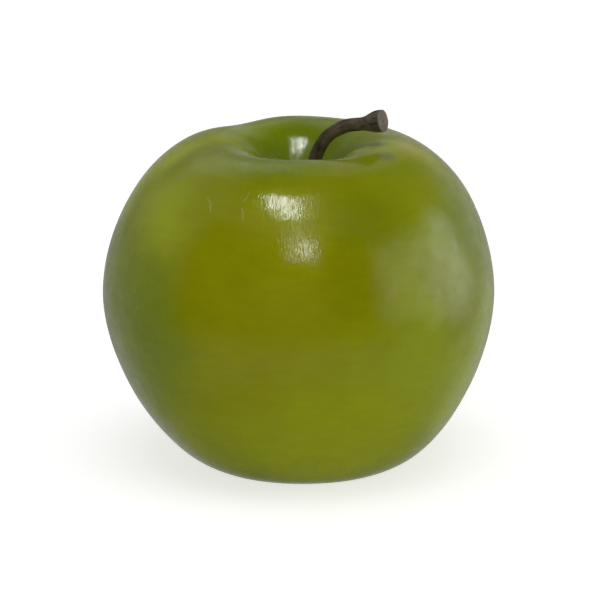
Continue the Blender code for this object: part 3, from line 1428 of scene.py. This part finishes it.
@dataclass(frozen=True)
class Window:
    """A soft-edged area of the room that the wax mirrors.

    On a wall it's measured in degrees: 0 across is where the camera stands, 90 is to its right, and up is the
    elevation. On the ceiling it's measured in direction cosines: across is to the right and up is towards the
    camera.
    """

    across: float
    up: float
    half_width: float
    half_height: float
    edge: float

    def mask(self, add: AddNode, axes: Sequence[Socket]) -> Socket:
        """Mark the area.

        Args:
            add: adds a node to the tree.
            axes: how far across and how far up the way looked lies.

        Returns:
            1 in the area, 0 outside it.
        """
        sides = []
        for axis, middle, half in zip(axes, (self.across, self.up), (self.half_width, self.half_height)):
            off = add("Math", {"operation": "SUBTRACT", 0: axis, 1: middle})
            off = add("Math", {"operation": "ABSOLUTE", 0: off})
            inner, outer = half - self.edge, half + self.edge
            soft = {"interpolation_type": "SMOOTHSTEP", "From Min": inner, "From Max": outer}
            sides.append(add("MapRange", {**soft, "Value": off, "To Min": 1.0, "To Max": 0.0}))
        return add("Math", {"operation": "MULTIPLY", 0: sides[0], 1: sides[1]})


@dataclass(frozen=True)
class Cloth(Window):
    """A dark cloth on a wall, which leaves a share of the room's even light."""

    left: float


@dataclass(frozen=True)
class Glow(Window):
    """A bright window on a wall or on the ceiling."""

    radiance: float
    on_ceiling: bool = False


@dataclass(frozen=True)
class MirroredRoom:
    """The room as the wax mirrors it: soft windows, a screen on the right and darkness behind the camera."""

    ambient: float = 0.40
    cloths: tuple[Cloth, ...] = (
        Cloth(-12, 18, 66, 34, 12, 0.0),
        Cloth(108, 52, 52, 28, 9, 0.25),
        Cloth(0, 86, 200, 22, 10, 0.12),
        Cloth(-163, 14, 24, 13, 7, 0.60),
        Cloth(0, -72, 200, 30, 12, 0.48),
        Cloth(-144, -2, 13, 10, 8, 0.75),
    )
    glows: tuple[Glow, ...] = (
        Glow(-0.150, 0.12, 0.048, 0.12, 0.03, 20.0, True),
        Glow(-0.055, 0.235, 0.042, 0.175, 0.03, 19.0, True),
        Glow(-0.040, 0.33, 0.035, 0.05, 0.03, 6.0, True),
        Glow(-0.135, 0.31, 0.045, 0.09, 0.03, 7.0, True),
        Glow(0.050, 0.22, 0.070, 0.22, 0.03, 1.6, True),
        Glow(0.000, 0.54, 0.115, 0.11, 0.05, 1.8, True),
        Glow(0.035, 0.72, 0.150, 0.085, 0.04, 3.9, True),
        Glow(0.058, 0.725, 0.050, 0.060, 0.035, 9.5, True),
        Glow(100, 9, 17, 18, 11, 2.7),
        Glow(66, 15, 17, 18, 10, 1.35),
        Glow(130, -6, 22, 20, 12, 0.30),
        Glow(-160, 43, 17, 11, 6, 0.50),
        Glow(-130, -16, 22, 15, 8, 0.14),
    )

    def material(self) -> bpy.types.Material:
        """Build the room's glow, in the dome's own coordinates.

        Returns:
            The material.
        """
        material, add = new_material("mirrored_room")
        place = add("TexCoord", {}, "Object")
        way = add("VectorMath", {"operation": "NORMALIZE", 0: place})
        axes = add("SeparateXYZ", {0: way}).node.outputs
        near = add("Math", {"operation": "MULTIPLY", 0: axes["Y"], 1: -1.0})
        azimuth = add("Math", {"operation": "ARCTAN2", 0: axes["X"], 1: near})
        elevation = add("Math", {"operation": "ARCSINE", 0: axes["Z"]})
        wall = [add("Math", {"operation": "DEGREES", 0: angle}) for angle in (azimuth, elevation)]
        ceiling = (axes["X"], near)
        overhead = add("Math", {"operation": "GREATER_THAN", 0: axes["Z"], 1: 0.0})
        light = add("Value", {})
        light.default_value = self.ambient
        for cloth in self.cloths:
            hung = cloth.mask(add, wall)
            kept = add("Math", {"operation": "MULTIPLY_ADD", 0: hung, 1: cloth.left - 1.0, 2: 1.0})
            light = add("Math", {"operation": "MULTIPLY", 0: light, 1: kept})
        for glow in self.glows:
            bright = glow.mask(add, ceiling if glow.on_ceiling else wall)
            if glow.on_ceiling:
                bright = add("Math", {"operation": "MULTIPLY", 0: bright, 1: overhead})
            light = add("Math", {"operation": "MULTIPLY_ADD", 0: bright, 1: glow.radiance, 2: light})
        shader = add("Emission", {"Color": (1.0, 1.0, 1.0, 1.0), "Strength": light})
        add("OutputMaterial", {"Surface": shader})
        material.cycles.emission_sampling = "NONE"
        return material


@dataclass(frozen=True)
class Fill:
    """A large soft lamp that only brightens matt colour, so that the wax doesn't mirror it."""

    name: str
    azimuth: float
    elevation: float
    distance: float
    size: float
    radiance: float

    def hang(self, target: Vector) -> None:
        """Hang the lamp and turn it towards the apple.

        Args:
            target: the point that it faces.
        """
        turn, rise = math.radians(self.azimuth), math.radians(self.elevation)
        way = Vector((math.sin(turn) * math.cos(rise), -math.cos(turn) * math.cos(rise), math.sin(rise)))
        deselect_all()
        bpy.ops.object.light_add(type="AREA", location=target + way * self.distance)
        lamp = bpy.context.object
        lamp.name = self.name
        lamp.rotation_euler = (-way).to_track_quat("-Z", "Y").to_euler()
        lamp.data.shape = "DISK"
        lamp.data.size = self.size
        lamp.data.energy = math.pi * math.pi * self.size**2 / 4 * self.radiance
        lamp.visible_glossy = False


@dataclass
class Studio:
    """A pale table in soft light, with the room dark behind the camera as the wax shows it."""

    middle: Vector
    camera_elevation: float = 16.0
    camera_distance: float = 0.68
    frame_width: float = 0.12293
    sensor: float = 36.0
    aim: tuple[float, float, float] = (0.3 * MM, 0.0, 33.6 * MM)
    world_light: float = 0.24
    backdrop_radius: float = 60.0
    card_radius: float = 5.0
    card_drop: float = 0.05 * MM
    room_radius: float = 6.0
    fills: tuple[Fill, ...] = (
        Fill("fill_front", -8, 4, 1.6, 1.4, 1.25),
        Fill("fill_right", 80, 4, 1.6, 1.4, 1.30),
        Fill("fill_above", 0, 78, 1.6, 1.4, 1.50),
    )

    def build(self) -> None:
        """Set the table, the room, the lamps, the world and the camera."""
        self.set_table()
        self.set_room()
        for fill in self.fills:
            fill.hang(self.middle)
        self.set_world()
        self.set_camera()
        bpy.context.scene.view_settings.view_transform = "Standard"

    def stage(self, thing: bpy.types.Object, name: str, look: bpy.types.Material, seen: Seen) -> None:
        """Dress a thing of the studio and say what sees it.

        Args:
            thing: the mesh object.
            name: its name.
            look: its material.
            seen: which rays see it.
        """
        thing.name = name
        thing.data.materials.append(look)
        thing.visible_camera = seen is Seen.BY_CAMERA
        thing.visible_diffuse = seen is Seen.BY_MATT
        thing.visible_glossy = seen is Seen.BY_SHINE
        thing.visible_shadow = seen is Seen.BY_MATT

    def set_table(self) -> None:
        """Lay the pale table that the camera sees, the card that bounces light, and the backdrop."""
        table, card = Matt("pale_table", 0.80, 0.66), Matt("bounce_card", 0.65, 0.20)
        sky = Matt("pale_backdrop", 0.0, 1.0)
        far = self.backdrop_radius
        deselect_all()
        bpy.ops.mesh.primitive_circle_add(vertices=96, radius=far, fill_type="NGON")
        self.stage(bpy.context.object, "table_top", table.material(), Seen.BY_CAMERA)
        deselect_all()
        size, low = self.card_radius, (0, 0, -self.card_drop)
        bpy.ops.mesh.primitive_circle_add(vertices=96, radius=size, fill_type="NGON", location=low)
        self.stage(bpy.context.object, "bounce_card", card.material(), Seen.BY_MATT)
        deselect_all()
        bpy.ops.mesh.primitive_uv_sphere_add(segments=48, ring_count=24, radius=far)
        self.stage(bpy.context.object, "backdrop", sky.material(), Seen.BY_CAMERA)

    def set_room(self) -> None:
        """Put the dome round the apple that only the wax's mirroring sees."""
        deselect_all()
        size = self.room_radius
        bpy.ops.mesh.primitive_uv_sphere_add(segments=96, ring_count=48, radius=size, location=self.middle)
        self.stage(bpy.context.object, "mirrored_room", MirroredRoom().material(), Seen.BY_SHINE)

    def set_world(self) -> None:
        """Fill the room with even light that only brightens matt colour."""
        world = bpy.data.worlds.new("room")
        bpy.context.scene.world = world
        world.use_nodes = True
        background = world.node_tree.nodes["Background"]
        background.inputs["Color"].default_value = (1.0, 1.0, 1.0, 1.0)
        background.inputs["Strength"].default_value = self.world_light
        world.cycles_visibility.glossy = False

    def set_camera(self) -> None:
        """Put the camera in front, a little above, with a long lens."""
        tilt = math.radians(self.camera_elevation)
        aim = Vector(self.aim)
        stand = aim + Vector((0, -math.cos(tilt), math.sin(tilt))) * self.camera_distance
        deselect_all()
        bpy.ops.object.camera_add(location=stand, rotation=(math.pi / 2 - tilt, 0, 0))
        camera = bpy.context.object
        camera.data.sensor_width = self.sensor
        camera.data.lens = self.sensor * self.camera_distance / self.frame_width
        camera.data.clip_start = 0.01
        camera.data.clip_end = 200.0
        bpy.context.scene.camera = camera


def main() -> None:
    """Build every piece in order, then the studio."""
    logging.basicConfig(level=logging.INFO, format="%(name)s: %(message)s")
    low, high = (Vector(corner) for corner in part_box("fruit"))
    leaf = Withered("withered_sepal", "#6B5230", "#33261A", vein_mm=0.6)
    thread = Withered("withered_thread", "#4A3722", "#22190F", vein_mm=0.3, roughness=0.9)
    for part in (Fruit(low, high, WaxySkin()), Stem(StemBark(), CutWood()), Calyx(leaf, thread)):
        for piece in part.build():
            LOG.info("%s: %d faces", piece.name, len(piece.data.polygons))
    Studio((low + high) / 2).build()


if __name__ == "__main__":
    main()
